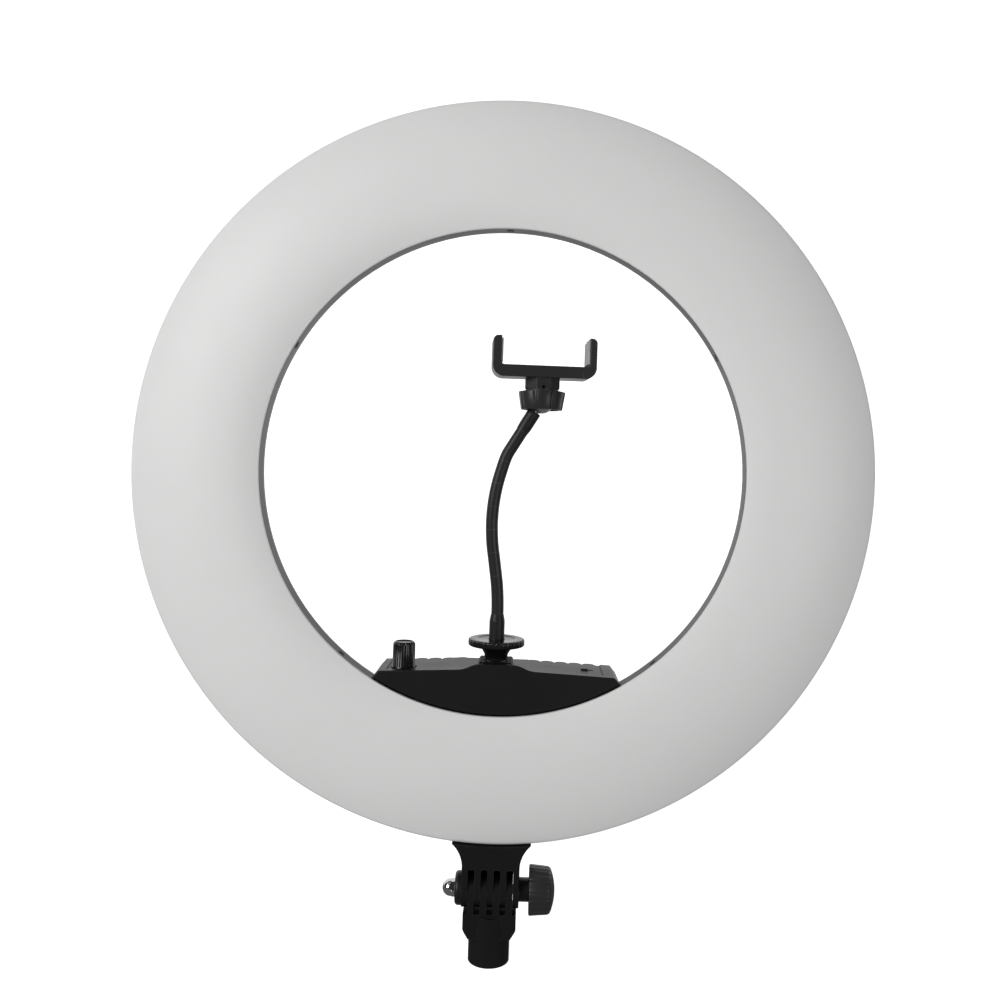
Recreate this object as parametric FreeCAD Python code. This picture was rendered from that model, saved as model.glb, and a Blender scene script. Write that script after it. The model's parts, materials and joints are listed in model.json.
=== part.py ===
import FreeCAD, Part
import math
import os

# Ring light head: +Z up, the light faces -Y. The origin is the centre of the stand
# socket's mouth. Millimetres and degrees throughout.

# Ring: its own frame has the origin at the ring's centre, +Z up, the light facing -Y
RING_Z = 320.0            # ring centre above the socket mouth
RING_Y = -12.0            # ring reference plane in front of the socket axis
RING_R = 242.5            # outer radius
BORE_R = 155.0            # radius of the bore wall
CROWN_R = 175.0           # radius at which the diffuser stands highest
CROWN_Y = -17.0
INNER_ARC = 59.0          # section radius of the dome inside its crown
OUTER_ARC = 124.0         # section radius of the dome outside its crown
SKIRT_CORNER = 7.0
DIFFUSER_WALL = 2.4
LIP_R = 154.8
LIP_BACK_Y = -11.05
SEAM_Y = 9.0              # where the diffuser's skirt meets the housing's rim
TONGUE_Y = 13.0           # back of the diffuser's locating tongue
BACK_Y = 21.0             # back face of the housing
HOUSING_WALL = 2.4
FLARE_R = 21.0            # rounding from the bore wall to the back face
GAP = 0.05                # clearance between pieces that stay together
FIT = 0.15                # clearance round a moulded tongue
HOOK_WALL = 1.7
HOOK_BACK_Y = -7.0

# Light boards and their fasteners
BOARD_R = (175.0, 226.0)
BOARD_Y = (15.8, 17.4)
BOARD_COUNT = 4
BOARD_SWEEP = 76.0
BOARD_TURN = 45.0         # the first board's middle, so a gap is left at the bottom
CHIP_ROWS = (182.0, 212.0)
CHIPS_PER_ROW = 26
CHIP_SIZE = (3.5, 0.8, 2.8)
SMALL_PILOT_R = 1.25
BOARD_SCREW_R = 197.0
POST_R = 231.0            # circle of the posts that take the back screws
POST_COUNT = 8
POST_TURN = 22.5
POST_FRONT_Y = -1.0
POST_WALL_R, PILOT_R = 3.4, 1.5   # screw posts and the pilot holes in them
SCREW_R, SCREW_HEAD_R = 1.45, 2.8
SCREW_HOLE_R = 1.6
BOARD_SCREW_STEP = 34.0
BORE_SCREW_DEGS = (30.0, 90.0, 150.0, 230.0, 310.0)
BORE_SCREW_Y = -5.4
BORE_SCREW_SINK = 1.0     # their heads lie in pockets in the bore wall
BORE_HEAD = (2.3, 0.9)    # radius and height
BORE_SCREW_LONG = 7.0
VENT_GROUPS = 16
VENT_ROWS = (186.0, 194.0, 202.0, 210.0)
VENT_SWEEP = 11.0
VENT_WIDTH = 2.6

# Control box, in the ring's frame
BOX_R = 154.6             # its underside follows the bore
BOX_TOP = -128.4          # height of the top's outer ends
BOX_HALF = 75.4           # half width of the top
BOX_RISE = 2.6            # degrees that the top climbs towards its middle
BOX_CUT = 50.0            # degrees that the cut corners fall
BOX_Y = (-10.0, 27.0)
BOX_WALL = 2.2
COVER_BACK_Y = 29.5
HUMP_HALF = 26.0
PLATEAU_HALF = 10.0
PLATEAU = -122.3
RIB_R = 4.4
RIB_PITCH = 9.3
RIB_FIRST = 24.0
RIB_COUNT = 5
RECESS_X = ((-71.0, -30.0), (20.4, 68.6))
RECESS_Y = -4.0
RECESS_DEPTH = 0.8
COVER_SCREWS = ((47.25, -138.0), (16.0, -147.4))
BOX_SCREW_DEG = 18.0      # box-to-bore screws, either side of straight down
CABLE_Y = -3.0
CABLE_R, CABLE_HOLE_R = 2.3, 3.2
JACK_Z = -141.0
DIMMER_X, DIMMER_Y = -60.9, 5.5
DIMMER_SEAT = (8.6, -129.2)   # radius and height of the level seat under the knob
KNOB_R = 7.4
KNOB_Z = (-129.1, -111.9)
SWITCH_X, SWITCH_Y = 57.3, 12.0
SWITCH_HALF = 2.2
SWITCH_TRAVEL = 3.2
DRIVER_Z = (-143.5, -141.9)
DRIVER_HALF = 36.0
DRIVER_POSTS = [(x, y) for x in (-31.0, 31.0) for y in (-2.0, 17.0)]

# Accessory shoe, its foot and lock wheel, in the ring's frame
SHOE_X, SHOE_Y = -1.2, 16.0
SHOE_HALF, SHOE_LENGTH = 11.3, 22.0
SHOE_Z = (-128.5, -123.9)
SHOE_FLOOR = -127.3
SHOE_ROOF = -125.2
SHOE_SCREW_R, SHOE_SCREW_HEAD_R = 1.2, 2.1
FOOT_HALF = 9.0
STUD_R = 3.1
WASHER_Z = (-123.8, -122.4)
WHEEL_Z = (-122.35, -114.6, -110.0)
WHEEL_R = 18.6
FERRULE_R = 5.1
FERRULE_Z = (-111.9, -93.6)
FERRULE_TAPER = 4.6       # length over which a ferrule narrows to the neck
WHEEL_POCKET = 3.4

# Gooseneck: lengths and turns of its centreline in the plane of the shoe's axis
NECK_START = -91.5
NECK_BENDS = ((24.0, -8.5), (16.0, 0.0), (83.2, 39.6))
NECK_LINKS = 8
NECK_R = 4.1
LINK_BALL = 3.25
TOP_FERRULE_R = 4.6
TOP_FERRULE = 15.1
BALL_R = 8.5
BALL_REACH = 8.6         # from the top ferrule's end to the ball's centre
BALL_STEM_R = 2.75

# Phone holder: its own frame has the origin at the ball's centre, +Z up
HOLDER_YAW = 4.5
LINER_R = 9.5
SEAT_R = 10.6
SEAT_Z = (-3.2, 4.0)
STEM_R = 12.2
STEM_Z = (-3.3, 7.4)
COLLAR_Z = (-6.1, 6.0)
COLLAR_R = (13.8, 15.5)
COLLAR_FLUTES = 8
COLLAR_MOUTH, COLLAR_LIP = 12.0, 9.4
SOCKET_Z = (7.1, 15.2)
SOCKET_HALF = 11.2        # the socket block is an octagon with narrow front faces
SOCKET_FACE = 4.5
BAR_Z = (14.7, 22.5)
BAR_HALF_Y = 11.0
JAW_X = (-33.6, 34.7)
JAW_TOP = 41.3
JAW_WALL = (5.7, 4.7)
PAD_WALL = 1.0
BAR_CORNER, JAW_CORNER, INNER_CORNER = 7.4, 3.3, 2.0
SET_SCREW_Z = 8.6
SPLIT_X = 26.0            # where the sliding jaw leaves the fixed bar
ROD_R, ROD_Y = 2.0, 7.0
ROD_LEFT_X = -20.0
SPRING_R, SPRING_WIRE, SPRING_TURNS = 2.3, 0.35, 26

# Tilt joint and stand bracket, in the row's frame
PIVOT_Z = 46.0
KNUCKLE_R = 11.5
FIN_PITCH = 8.4
FIN_SLOT = 4.4
LOWER_FIN = 4.2
NECK_WEB = 3.0            # closes the backs of the slots above the fins' reach
SLOT_PLACES = (-1.5, -0.5, 0.5, 1.5)   # in fin pitches from the middle
NECK_HALF = 18.75
NECK_FLARE = 25.7
NECK_FLARE_R = 20.5
NECK_DEPTH = 23.0
NECK_SLOT_ROOT = 17.0     # above the pivot
PLATE_THICK = 4.0
PLATE_HALF = 20.0
PLATE_TOP = -206.0        # in the ring's frame
BOLT_R = 2.95
BOSS_R, BOSS_WIDE, BOSS_EDGE = 10.6, 4.4, 2.2
HUB_R, HUB_WIDE = 7.5, 6.4
TILT_KNOB_R = (15.7, 14.8)    # it tapers outwards
TILT_KNOB_WIDE = 17.4
SOCKET_R = 8.05           # stand socket bore
SOCKET_DEEP = 28.0
SOCKET_OUTER = 13.5
BRACKET_HALF = 17.3
BRACKET_Z = (21.5, 33.4)
LOCK_Z = 14.0
LOCK_SCREW_R = 2.95

Vector = FreeCAD.Vector
ORIGIN = Vector(0, 0, 0)
X, Y, Z = Vector(1, 0, 0), Vector(0, 1, 0), Vector(0, 0, 1)


# ---------------------------------------------------------------- building blocks

def block(x, y, z):
    """A box from three (low, high) pairs."""
    return Part.makeBox(x[1] - x[0], y[1] - y[0], z[1] - z[0], Vector(x[0], y[0], z[0]))


def rod(at, axis, radius, length):
    return Part.makeCylinder(radius, length, at, axis)


def tube(at, axis, outer, inner, length):
    return rod(at, axis, outer, length).cut(rod(at, axis, inner, length))


def ball(at, radius):
    return Part.makeSphere(radius, at)


def cone(at, axis, bottom, top, length):
    return Part.makeCone(bottom, top, length, at, axis)


def join(pieces):
    return pieces[0].multiFuse(pieces[1:]).removeSplitter()


def around(shape, axis, count, at=ORIGIN):
    """Copies of a shape spread evenly round an axis."""
    copies = []
    for k in range(count):
        copy = shape.copy()
        copy.rotate(at, axis, 360.0 * k / count)
        copies.append(copy)
    return copies


def mirrored(shape):
    """A shape and its mirror image across the middle plane x = 0."""
    return [shape, shape.mirror(ORIGIN, X)]


def flat(u, v):
    """Outline point in the plane y = 0: u along X, v along Z."""
    return Vector(u, 0, v)


def section(r, y):
    """Outline point for turning about the ring's axis: radius, then depth."""
    return Vector(r, y, 0)


def outline(plane, *steps):
    """A face from points (u, v) and arcs (centre, radius, first angle, last angle)."""
    runs = []
    for step in steps:
        if len(step) == 2:
            runs.append([plane(*step)])
            continue
        (cu, cv), radius, first, last = step
        turns = [math.radians(a) for a in (first, (first + last) / 2.0, last)]
        runs.append([plane(cu + radius * math.cos(a), cv + radius * math.sin(a)) for a in turns])
    edges = []
    for run, following in zip(runs, runs[1:] + runs[:1]):
        if len(run) == 3:
            edges.append(Part.Arc(*run).toShape())
        if run[-1].distanceToPoint(following[0]) > 1e-6:
            edges.append(Part.makeLine(run[-1], following[0]))
    return Part.Face(Part.Wire(edges))


def turned(face, axis, sweep=360.0):
    return face.revolve(ORIGIN, axis, sweep)


def slab(face, y):
    """A flat outline, drawn at y = 0, made solid between two depths."""
    face.translate(Vector(0, y[0], 0))
    return face.extrude(Vector(0, y[1] - y[0], 0))


def rounded(shape, radius, chosen):
    """Rounds the edges whose middle point passes a test."""
    edges = [e for e in shape.Edges if chosen(e.valueAt((e.FirstParameter + e.LastParameter) / 2.0))]
    return shape.makeFillet(radius, edges)


def screw(at, axis, shank, length, head, head_high):
    """A pan-head screw: its head's underside is at the point, its shank runs along the axis."""
    body = join([
        rod(at, axis, shank, length),
        cone(at - axis * head_high, axis, head * 0.8, head, head_high * 0.5),
        rod(at - axis * head_high * 0.5, axis, head, head_high * 0.5)])
    side = X if abs(axis.dot(X)) < 0.5 else Y
    other = axis.cross(side)
    deep = head_high * 0.6
    for along, across in ((side, other), (other, side)):
        along.normalize()
        across.normalize()
        slot = Part.makeBox(head * 1.1, head * 0.26, deep)
        slot.translate(Vector(-head * 0.55, -head * 0.13, 0))
        turn = FreeCAD.Rotation(along, across, axis, "ZXY")
        slot.Placement = FreeCAD.Placement(at - axis * (head_high + 0.001), turn) * slot.Placement
        body = body.cut(slot)
    return body


def on_ring(shape):
    """Moves a shape from the ring's frame into the row's frame."""
    shape.translate(Vector(0, RING_Y, RING_Z))
    return shape


def radial(degrees):
    """Unit vector away from the ring's axis; 0 is +X and 90 is up."""
    a = math.radians(degrees)
    return Vector(math.cos(a), 0, math.sin(a))


# ---------------------------------------------------------------- the ring

def skirt_centre():
    """Centre of the small corner between the dome's outer arc and the skirt."""
    r = RING_R - SKIRT_CORNER
    reach = OUTER_ARC - SKIRT_CORNER
    return r, CROWN_Y + OUTER_ARC - math.sqrt(reach ** 2 - (r - CROWN_R) ** 2)


def dome_angle(r, wall):
    """Angle at which the dome's outer arc, set in by a wall, reaches a radius."""
    return -math.degrees(math.acos((r - CROWN_R) / (OUTER_ARC - wall)))


def lip_angle(r, wall):
    """Angle at which the dome's inner arc, set in by a wall, reaches a radius."""
    return -math.degrees(math.acos((r - CROWN_R) / (INNER_ARC - wall)))


def diffuser():
    inner_centre = (CROWN_R, CROWN_Y + INNER_ARC)
    outer_centre = (CROWN_R, CROWN_Y + OUTER_ARC)
    corner = skirt_centre()
    blend = -math.degrees(math.acos((corner[0] - CROWN_R) / (OUTER_ARC - SKIRT_CORNER)))
    tongue = RING_R - HOUSING_WALL - FIT
    tongue_in = tongue - 2.05
    hook = BORE_R + HOUSING_WALL + FIT
    profile = outline(
        section,
        (LIP_R, LIP_BACK_Y),
        (inner_centre, INNER_ARC, lip_angle(LIP_R, 0.0), -90.0),
        (outer_centre, OUTER_ARC, -90.0, blend),
        (corner, SKIRT_CORNER, blend, 0.0),
        (RING_R, SEAM_Y - GAP), (tongue, SEAM_Y - GAP), (tongue, TONGUE_Y), (tongue_in, TONGUE_Y),
        (outer_centre, OUTER_ARC - DIFFUSER_WALL, dome_angle(tongue_in, DIFFUSER_WALL), -90.0),
        (inner_centre, INNER_ARC - DIFFUSER_WALL, -90.0, lip_angle(hook + HOOK_WALL, DIFFUSER_WALL)),
        (hook + HOOK_WALL, HOOK_BACK_Y), (hook, HOOK_BACK_Y), (hook, LIP_BACK_Y))
    pieces = [turned(profile, Y)]
    post = tube(Vector(POST_R, POST_FRONT_Y, 0), Y, POST_WALL_R, PILOT_R, 15.5 - POST_FRONT_Y)
    start = Vector(hook + FIT, BORE_SCREW_Y, 0)
    for copy in around(post, Y, POST_COUNT):
        copy.rotate(ORIGIN, Y, POST_TURN)
        pieces.append(copy)
    for degrees in BORE_SCREW_DEGS:
        boss = tube(start, X, POST_WALL_R, PILOT_R, 7.0).common(block((0, 300), (-12.6, 5), (-10, 10)))
        bridge = block((hook + 0.6, hook + 6.5), (-12.9, BORE_SCREW_Y - 2.6), (-1.2, 1.2))
        for part in (boss, bridge):
            part.rotate(ORIGIN, Y, -degrees)
            pieces.append(part)
    return join(pieces)


def vents():
    """Short curved slots through the housing's back, in evenly spaced groups."""
    slots = []
    for r in VENT_ROWS:
        bar = outline(section, (r - VENT_WIDTH / 2, BACK_Y - 4), (r + VENT_WIDTH / 2, BACK_Y - 4),
                      (r + VENT_WIDTH / 2, BACK_Y + 1), (r - VENT_WIDTH / 2, BACK_Y + 1))
        slot = turned(bar, Y, VENT_SWEEP)
        slot.rotate(ORIGIN, Y, -VENT_SWEEP / 2)
        slots += around(slot, Y, VENT_GROUPS)
    return slots


def board_screw_points():
    """Board screw places, three to a board, as angles round the ring."""
    return [BOARD_TURN + k * 360.0 / BOARD_COUNT + step
            for k in range(BOARD_COUNT) for step in (-BOARD_SCREW_STEP, 0.0, BOARD_SCREW_STEP)]


def rear_housing():
    wall = HOUSING_WALL
    corner = (RING_R - SKIRT_CORNER, BACK_Y - SKIRT_CORNER)
    flare = (BORE_R + FLARE_R, BACK_Y - FLARE_R)
    profile = outline(
        section,
        (RING_R, SEAM_Y), (corner, SKIRT_CORNER, 0.0, 90.0),
        (flare, FLARE_R, 90.0, 180.0),
        (BORE_R, -11.0), (BORE_R + wall, -11.0),
        (flare, FLARE_R - wall, 180.0, 90.0),
        (corner, SKIRT_CORNER - wall, 90.0, 0.0),
        (RING_R - wall, SEAM_Y))
    shell = turned(profile, Y).cut(Part.makeCompound(vents()))
    extras = []
    for copy in around(rod(Vector(POST_R, 15.6, 0), Y, 4.2, 4.0), Y, POST_COUNT):
        copy.rotate(ORIGIN, Y, POST_TURN)
        extras.append(copy)
    for degrees in board_screw_points():
        at = radial(degrees) * BOARD_SCREW_R
        extras.append(rod(at + Y * (BOARD_Y[1] + GAP), Y, 3.2, 2.6))
    extras.append(block((-19, 19), (14.0, 20.0), (-235.0, -211.0)))
    shell = join([shell] + extras)
    holes = []
    for copy in around(join([rod(Vector(POST_R, 10, 0), Y, SCREW_HOLE_R, 12),
                             rod(Vector(POST_R, 18.8, 0), Y, 3.0, 4)]), Y, POST_COUNT):
        copy.rotate(ORIGIN, Y, POST_TURN)
        holes.append(copy)
    for degrees in board_screw_points():
        holes.append(rod(radial(degrees) * BOARD_SCREW_R + Y * 14.0, Y, SMALL_PILOT_R, 5.8))
    for degrees in BORE_SCREW_DEGS:
        out = radial(degrees)
        holes.append(rod(out * (BORE_R - 2) + Y * BORE_SCREW_Y, out, SCREW_HOLE_R, 6))
        holes.append(rod(out * (BORE_R - 2) + Y * BORE_SCREW_Y, out, BORE_HEAD[0] + FIT, 2 + BORE_SCREW_SINK))
    for side in (-1, 1):
        out = radial(-90.0 + side * BOX_SCREW_DEG)
        holes.append(rod(out * (BORE_R - 2) + Y * CABLE_Y, out, SCREW_HOLE_R, 6))
    for x, z in plate_screw_points():
        holes.append(rod(Vector(x, 14.0, z), Y, SCREW_HOLE_R, 10))
    holes.append(rod(Vector(0, CABLE_Y, -BORE_R + 2), Z * -1, CABLE_HOLE_R, 6))
    return shell.cut(Part.makeCompound(holes))


def led_boards():
    bar = outline(section, (BOARD_R[0], BOARD_Y[0]), (BOARD_R[1], BOARD_Y[0]),
                  (BOARD_R[1], BOARD_Y[1]), (BOARD_R[0], BOARD_Y[1]))
    boards = []
    for k in range(BOARD_COUNT):
        board = turned(bar.copy(), Y, BOARD_SWEEP)
        board.rotate(ORIGIN, Y, BOARD_TURN - BOARD_SWEEP / 2 + k * 360.0 / BOARD_COUNT)
        for degrees in board_screw_points():
            board = board.cut(rod(radial(degrees) * BOARD_SCREW_R + Y * 14.0, Y, 1.4, 5))
        boards.append(board)
    return Part.makeCompound(boards)


def led_chips():
    chips = []
    long_side, high, wide = CHIP_SIZE
    for r in CHIP_ROWS:
        for k in range(BOARD_COUNT):
            for n in range(CHIPS_PER_ROW):
                chip = block((r - wide / 2, r + wide / 2), (BOARD_Y[0] - GAP - high, BOARD_Y[0] - GAP),
                             (-long_side / 2, long_side / 2))
                step = (n + 0.5) / CHIPS_PER_ROW - 0.5
                chip.rotate(ORIGIN, Y, BOARD_TURN + k * 360.0 / BOARD_COUNT + step * (BOARD_SWEEP - 4.0))
                chips.append(chip)
    return Part.makeCompound(chips)


def board_screws():
    under = BOARD_Y[0] - GAP
    return Part.makeCompound([screw(radial(d) * BOARD_SCREW_R + Y * under, Y, 1.2, 3.9, 2.6, 1.6)
                              for d in board_screw_points()])


def housing_screws():
    one = screw(Vector(POST_R, 18.85, 0), Y * -1, SCREW_R, 11.0, SCREW_HEAD_R, 1.9)
    screws = around(one, Y, POST_COUNT)
    for one in screws:
        one.rotate(ORIGIN, Y, POST_TURN)
    return Part.makeCompound(screws)


def bore_screws():
    seat = BORE_R + BORE_SCREW_SINK - GAP
    return Part.makeCompound([screw(radial(d) * seat + Y * BORE_SCREW_Y, radial(d),
                                    SCREW_R, BORE_SCREW_LONG, *BORE_HEAD) for d in BORE_SCREW_DEGS])


# ---------------------------------------------------------------- the control box

def box_top(x):
    """Height of the box's top, which climbs from its ends to the foot of the hump."""
    return BOX_TOP + (BOX_HALF - max(abs(x), HUMP_HALF)) * math.tan(math.radians(BOX_RISE))


def box_outline(inset=0.0, rise=True):
    """The box seen from the front: cut corners, underside on the bore's circle."""
    top = BOX_TOP - inset
    radius = BOX_R - inset
    fall = math.radians(BOX_CUT)
    half = BOX_HALF - inset * math.tan(fall / 2.0)
    lean = half * math.cos(fall) - top * math.sin(fall)
    cut = -lean + math.sqrt(lean ** 2 + radius ** 2 - half ** 2 - top ** 2)
    tip = math.degrees(math.atan2(top - cut * math.sin(fall), half + cut * math.cos(fall)))
    steps = [((0.0, 0.0), radius, tip, -180.0 - tip), (-half, top)]
    if rise:
        middle = box_top(0.0) - inset
        steps += [(-HUMP_HALF, middle), (HUMP_HALF, middle)]
    steps.append((half, top))
    return outline(flat, *steps)


def hump_outline():
    """The lip that rises in the middle of the front wall: two pairs of matching arcs."""
    foot = box_top(0.0)
    run, rise = HUMP_HALF - PLATEAU_HALF, PLATEAU - foot
    bend = (run ** 2 + rise ** 2) / (4.0 * rise)
    lean = math.degrees(2.0 * math.atan(rise / run))
    return outline(
        flat, (HUMP_HALF, foot - 1.0), (-HUMP_HALF, foot - 1.0),
        ((-HUMP_HALF, foot + bend), bend, -90.0, -90.0 + lean),
        ((-PLATEAU_HALF, PLATEAU - bend), bend, 90.0 + lean, 90.0),
        ((PLATEAU_HALF, PLATEAU - bend), bend, 90.0, 90.0 - lean),
        ((HUMP_HALF, foot + bend), bend, -90.0 - lean, -90.0))


def recesses():
    """The shallow sunk panels that follow the top's slope, and the knob's level seat."""
    tools = []
    for low, high in RECESS_X:
        panel = outline(flat, (low, box_top(low) - RECESS_DEPTH), (high, box_top(high) - RECESS_DEPTH),
                        (high, BOX_TOP + 20.0), (low, BOX_TOP + 20.0))
        tools.append(slab(panel, (RECESS_Y, 60.0)))
    radius, level = DIMMER_SEAT
    tools.append(rod(Vector(DIMMER_X, DIMMER_Y, level), Z, radius, 10.0))
    return Part.makeCompound(tools)


def cover_screw_points():
    return [(side * x, z) for x, z in COVER_SCREWS for side in (-1, 1)]


def box_case():
    lip = slab(hump_outline(), (BOX_Y[0], BOX_Y[0] + BOX_WALL))
    shell = join([slab(box_outline(), BOX_Y), lip])
    shell = rounded(shell, 0.7, lambda p: abs(p.y - BOX_Y[0]) < 0.01)
    shell = shell.cut(slab(box_outline(BOX_WALL, rise=False), (BOX_Y[0] + BOX_WALL, 60.0)))
    bosses = [rod(Vector(x, BOX_Y[0] + 1, z), Y, 2.6, BOX_Y[1] - BOX_Y[0] - 1)
              for x, z in cover_screw_points()]
    inside = slab(box_outline(0.5, rise=False), BOX_Y)
    posts = [rod(Vector(x, y, -153.0), Z, 2.2, DRIVER_Z[0] - GAP + 153.0).common(inside)
             for x, y in DRIVER_POSTS]
    case = join([shell] + bosses + posts)
    cuts = [rod(Vector(x, 10.0, z), Y, PILOT_R, 30.0) for x, z in cover_screw_points()]
    cuts.append(rod(Vector(DIMMER_X, DIMMER_Y, -132.0), Z, 3.7, 8.0))
    cuts.append(block((SWITCH_X - SWITCH_HALF - 0.3, SWITCH_X + SWITCH_HALF + 0.3 + SWITCH_TRAVEL),
                      (SWITCH_Y - 1.3, SWITCH_Y + 1.3), (-132.0, -120.0)))
    cuts.append(block((SHOE_X - SHOE_HALF - GAP, SHOE_X + SHOE_HALF + GAP),
                      (SHOE_Y - SHOE_LENGTH / 2 - GAP, 60.0), (SHOE_Z[0] - GAP, -115.0)))
    for side in (-1, 1):
        out = radial(-90.0 + side * BOX_SCREW_DEG)
        cuts.append(rod(out * (BOX_R - 5) + Y * CABLE_Y, out, SCREW_HOLE_R, 8))
    for point in shoe_screw_points():
        cuts.append(rod(Vector(point.x, point.y, -135.0), Z, SMALL_PILOT_R, 15.0))
    cuts.append(rod(Vector(0, CABLE_Y, -BOX_R + 5), Z * -1, CABLE_HOLE_R, 8))
    return case.cut(recesses()).cut(Part.makeCompound(cuts))


def box_cover():
    plate = slab(box_outline(), (BOX_Y[1] + GAP, COVER_BACK_Y))
    reach = slab(box_outline(0.6), (BOX_Y[1] + 1.0, 60.0))
    ribs = []
    for k in range(RIB_COUNT):
        rib = rod(Vector(RIB_FIRST + k * RIB_PITCH, COVER_BACK_Y, -160.0), Z, RIB_R, 60.0)
        rib = rib.common(reach).common(block((0, 90), (BOX_Y[1] + 1.0, 60), (-170, -100)))
        ribs += mirrored(rib)
    cover = join([plate] + ribs)
    cuts = [recesses()]
    for x, z in cover_screw_points():
        cuts.append(rod(Vector(x, 20.0, z), Y, SCREW_HOLE_R, 12.0))
        cuts.append(rod(Vector(x, COVER_BACK_Y, z), Y, SCREW_HEAD_R + 0.4, 12.0))
    cuts.append(rod(Vector(0, 20.0, JACK_Z), Y, 4.05, 12.0))
    cuts.append(block((SHOE_X - SHOE_HALF - GAP, SHOE_X + SHOE_HALF + GAP),
                      (20.0, 60.0), (SHOE_Z[0] - GAP, -115.0)))
    return cover.cut(Part.makeCompound(cuts))


def cover_screws():
    under = COVER_BACK_Y + GAP
    return Part.makeCompound([screw(Vector(x, under, z), Y * -1, SCREW_R, 11.0, SCREW_HEAD_R, 1.8)
                              for x, z in cover_screw_points()])


def box_screws():
    screws = []
    for side in (-1, 1):
        out = radial(-90.0 + side * BOX_SCREW_DEG)
        at = out * (BOX_R - BOX_WALL - GAP) + Y * CABLE_Y
        screws.append(screw(at, out, SCREW_R, 8.0, SCREW_HEAD_R, 1.6))
    return Part.makeCompound(screws)


def driver_board():
    board = block((-DRIVER_HALF, DRIVER_HALF), (-6.0, 19.0), DRIVER_Z)
    for x, y in DRIVER_POSTS:
        board = board.cut(rod(Vector(x, y, -150), Z, 1.4, 12))
    return board


def driver_parts():
    """A choke, two capacitors, a regulator on its heat sink and a plug, standing on the board."""
    deck = DRIVER_Z[1] + GAP
    choke = tube(Vector(-20, 5, deck), Z, 6.0, 2.4, 5.0)
    capacitors = [rod(Vector(x, 12, deck), Z, 3.1, 8.5) for x in (-6.0, 2.0)]
    fins = [block((18 + 3 * k, 19.2 + 3 * k), (4, 15), (deck, deck + 9)) for k in range(4)]
    sink = join([block((17, 30), (4, 15), (deck, deck + 1.6))] + fins)
    plug = block((-4, 6), (-4.5, 1.5), (deck, deck + 5.5))
    return Part.makeCompound([choke] + capacitors + [sink, plug])


def dimmer_pot():
    at = Vector(DIMMER_X, DIMMER_Y, 0)
    case = block((DIMMER_X - 4.5, DIMMER_X + 4.5), (DIMMER_Y - 4.5, DIMMER_Y + 4.5), (-136.1, -130.75))
    case = join([case, rod(at + Z * -131.0, Z, 3.5, 4.2)])
    return case.cut(rod(at + Z * -134.0, Z, 3.05, 12.0))


def dimmer_nut():
    at = Vector(DIMMER_X, DIMMER_Y, DIMMER_SEAT[1] + GAP)
    washer = tube(at, Z, 5.6, 3.6, 0.5)
    corner = 4.9 / math.cos(math.radians(30))
    hexagon = Part.makePolygon([at + Z * 0.5 + radial_flat(60 * k) * corner for k in range(7)])
    nut = Part.Face(hexagon).extrude(Z * 1.7).cut(rod(at, Z, 3.6, 4.0))
    return join([washer, nut])


def radial_flat(degrees):
    """Unit vector in the level plane; 0 is +X and 90 is +Y."""
    a = math.radians(degrees)
    return Vector(math.cos(a), math.sin(a), 0)


def dimmer_shaft():
    shaft = rod(Vector(DIMMER_X, DIMMER_Y, -133.9), Z, 3.0, 19.0)
    notch = block((DIMMER_X - 4, DIMMER_X + 4), (DIMMER_Y + 1.6, DIMMER_Y + 4), (-125.0, -110.0))
    return shaft.cut(notch)


def dimmer_knob():
    low, high = KNOB_Z
    profile = outline(flat, (0.0, low), (KNOB_R + 0.4, low), (KNOB_R + 0.4, low + 0.8),
                      (KNOB_R, low + 1.6), (KNOB_R - 0.25, high - 1.4), (KNOB_R - 1.2, high),
                      (KNOB_R - 2.0, high), (KNOB_R - 2.4, high - 0.35), (0.0, high - 0.35))
    knob = turned(profile, Z)
    flute = rod(Vector(KNOB_R + 0.5, 0, low + 2.0), Z, 0.9, 30.0)
    knob = knob.cut(Part.makeCompound(around(flute, Z, 18)))
    pointer = block((-0.35, 0.35), (-KNOB_R, -2.2), (high - 0.8, high + 1))
    knob = knob.cut(pointer).cut(rod(Z * (low - 1), Z, 6.0, 3.9))
    hole = rod(Z * low, Z, 3.02, 14.4)
    hole = hole.cut(block((-4, 4), (1.62, 4), (low + 4.2, low + 16)))
    knob = knob.cut(hole)
    knob.translate(Vector(DIMMER_X, DIMMER_Y, 0))
    return knob


def switch_body():
    body = block((SWITCH_X - 4.6, SWITCH_X + 6.4), (SWITCH_Y - 3.2, SWITCH_Y + 3.2), (-136.4, -130.75))
    track = block((SWITCH_X - SWITCH_HALF - 0.5, SWITCH_X + SWITCH_HALF + 0.5 + SWITCH_TRAVEL),
                  (SWITCH_Y - 1.4, SWITCH_Y + 1.4), (-134.5, -130.0))
    return body.cut(track)


def switch_slider():
    stem = block((SWITCH_X - SWITCH_HALF, SWITCH_X + SWITCH_HALF), (SWITCH_Y - 1.1, SWITCH_Y + 1.1),
                 (-134.2, -127.1))
    grooves = [block((SWITCH_X + x - 0.25, SWITCH_X + x + 0.25), (SWITCH_Y - 2, SWITCH_Y + 2),
                     (-127.5, -126)) for x in (-1.2, 0.0, 1.2)]
    return stem.cut(Part.makeCompound(grooves))


def dc_jack():
    at = Vector(0, 20.0, JACK_Z)
    barrel = rod(at, Y, 4.0, 10.6)
    flange = tube(at + Y * (COVER_BACK_Y + GAP - 20.0), Y, 5.6, 4.0, 1.1)
    barrel = join([barrel, flange]).cut(rod(at + Y * 1.6, Y, 2.8, 20.0))
    return join([barrel, rod(at + Y * 1.0, Y, 1.05, 8.6)])


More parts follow.
